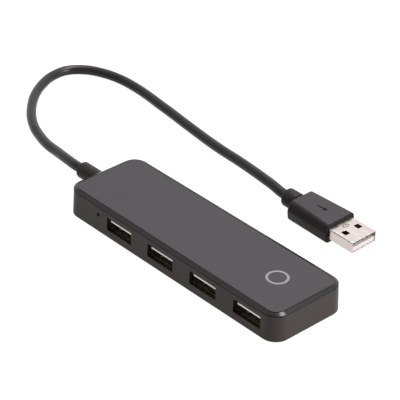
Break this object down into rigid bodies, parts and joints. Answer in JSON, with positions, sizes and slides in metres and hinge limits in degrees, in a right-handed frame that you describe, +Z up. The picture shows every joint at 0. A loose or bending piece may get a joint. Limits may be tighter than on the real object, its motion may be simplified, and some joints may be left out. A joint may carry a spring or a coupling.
{
  "type": "usb hub",
  "caption": "Slim flat desktop USB hub with a row of side-facing sockets and a short built-in cable that ends in a plug.",
  "frame": {"origin": "centre of the flat base of the case, on the surface it rests on", "axes": "+X along the case away from the cable end, -Y out of the ports, +Z up"},
  "size_m": [0.1915, 0.0789, 0.0112],
  "materials": {
    "case_plastic": "satin",
    "cover_plastic": "satin top, polished bevel",
    "board": "solder-resist gloss",
    "chip_epoxy": "matte",
    "tinned": "bright tin",
    "capacitor_can": "satin",
    "led_epoxy": "clear",
    "port_metal": "satin",
    "white_plastic": "satin",
    "gold": "polished",
    "soft_plastic": "matte",
    "cable_jacket": "satin",
    "wire_red": "satin",
    "wire_white": "satin",
    "wire_green": "satin",
    "wire_black": "satin",
    "plug_metal": "bright nickel"
  },
  "bodies": {
    "root": {"bottom_case": "case_plastic", "top_cover": "cover_plastic", "circuit_board": "board", "hub_controller": "chip_epoxy", "crystal": "tinned", "bulk_capacitor_1": "capacitor_can", "bulk_capacitor_2": "capacitor_can", "status_led": "led_epoxy", "led_lead_1": "tinned", "led_lead_2": "tinned", "port_1_shell": "port_metal", "port_1_insulator": "white_plastic", "port_1_contact_1": "gold", "port_1_contact_2": "gold", "port_1_contact_3": "gold", "port_1_contact_4": "gold", "port_2_shell": "port_metal", "port_2_insulator": "white_plastic", "port_2_contact_1": "gold", "port_2_contact_2": "gold", "port_2_contact_3": "gold", "port_2_contact_4": "gold", "port_3_shell": "port_metal", "port_3_insulator": "white_plastic", "port_3_contact_1": "gold", "port_3_contact_2": "gold", "port_3_contact_3": "gold", "port_3_contact_4": "gold", "port_4_shell": "port_metal", "port_4_insulator": "white_plastic", "port_4_contact_1": "gold", "port_4_contact_2": "gold", "port_4_contact_3": "gold", "port_4_contact_4": "gold", "cable_strain_relief": "soft_plastic", "cable": "cable_jacket", "wire_red": "wire_red", "wire_white": "wire_white", "wire_green": "wire_green", "wire_black": "wire_black", "plug_shell": "plug_metal", "plug_insulator": "white_plastic", "plug_overmold": "soft_plastic", "plug_contact_1": "gold", "plug_contact_2": "gold", "plug_contact_3": "gold", "plug_contact_4": "gold"}
  },
  "joints": []
}
